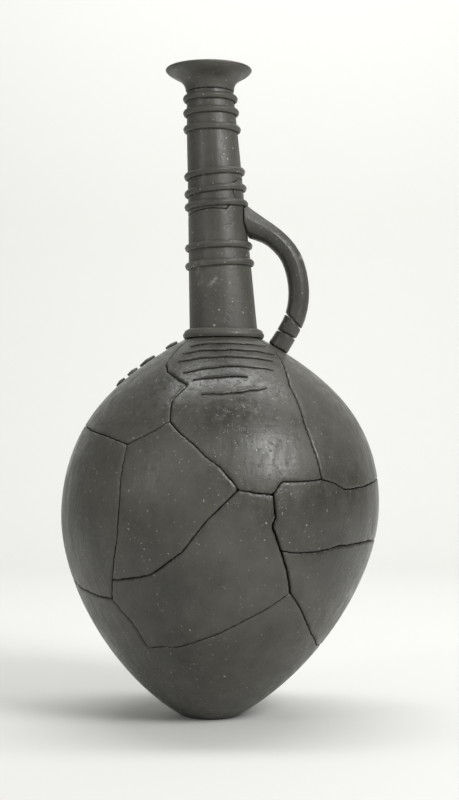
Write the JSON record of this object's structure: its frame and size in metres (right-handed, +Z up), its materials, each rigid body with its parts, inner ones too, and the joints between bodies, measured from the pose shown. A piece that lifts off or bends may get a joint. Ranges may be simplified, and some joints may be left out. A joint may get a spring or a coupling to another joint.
{
  "type": "pottery jug",
  "caption": "Tall-necked ovoid burnished clay jug with one loop handle, relief bands and mended breaks, standing on a small flat foot.",
  "frame": {"origin": "centre of the flat foot, on the surface the jug stands on", "axes": "+Z up along the jug's height; +X towards the handle; the pictured front faces -Y"},
  "size_m": [0.285, 0.285, 0.5814],
  "materials": {
    "body_clay": "burnished",
    "neck_clay": "burnished",
    "relief_clay": "worn",
    "handle_clay": "burnished"
  },
  "bodies": {
    "root": {"base_sherd": "body_clay", "belly_centre_sherd": "body_clay", "belly_left_sherd": "body_clay", "belly_right_sherd": "body_clay", "belly_upper_sherd": "body_clay", "handle_arch": "handle_clay", "handle_fragment": "handle_clay", "handle_root": "handle_clay", "lower_back_sherd": "body_clay", "mouth_rim": "neck_clay", "neck_band_1": "neck_clay", "neck_band_2": "neck_clay", "neck_band_3": "neck_clay", "neck_band_4": "neck_clay", "neck_band_5": "neck_clay", "neck_band_6": "neck_clay", "neck_band_7": "neck_clay", "neck_band_8": "neck_clay", "neck_base_coil": "relief_clay", "neck_lower_sherd": "neck_clay", "neck_side_fragment": "neck_clay", "neck_upper_sherd": "neck_clay", "shoulder_front_sherd": "body_clay", "shoulder_knob_1": "relief_clay", "shoulder_knob_2": "relief_clay", "shoulder_knob_3": "relief_clay", "shoulder_knob_4": "relief_clay", "shoulder_left_sherd": "body_clay", "shoulder_lens": "relief_clay", "shoulder_ridge_1": "relief_clay", "shoulder_ridge_2": "relief_clay", "shoulder_ridge_3": "relief_clay", "shoulder_ridge_4": "relief_clay", "shoulder_ridge_5": "relief_clay", "shoulder_right_sherd": "body_clay"}
  },
  "joints": []
}
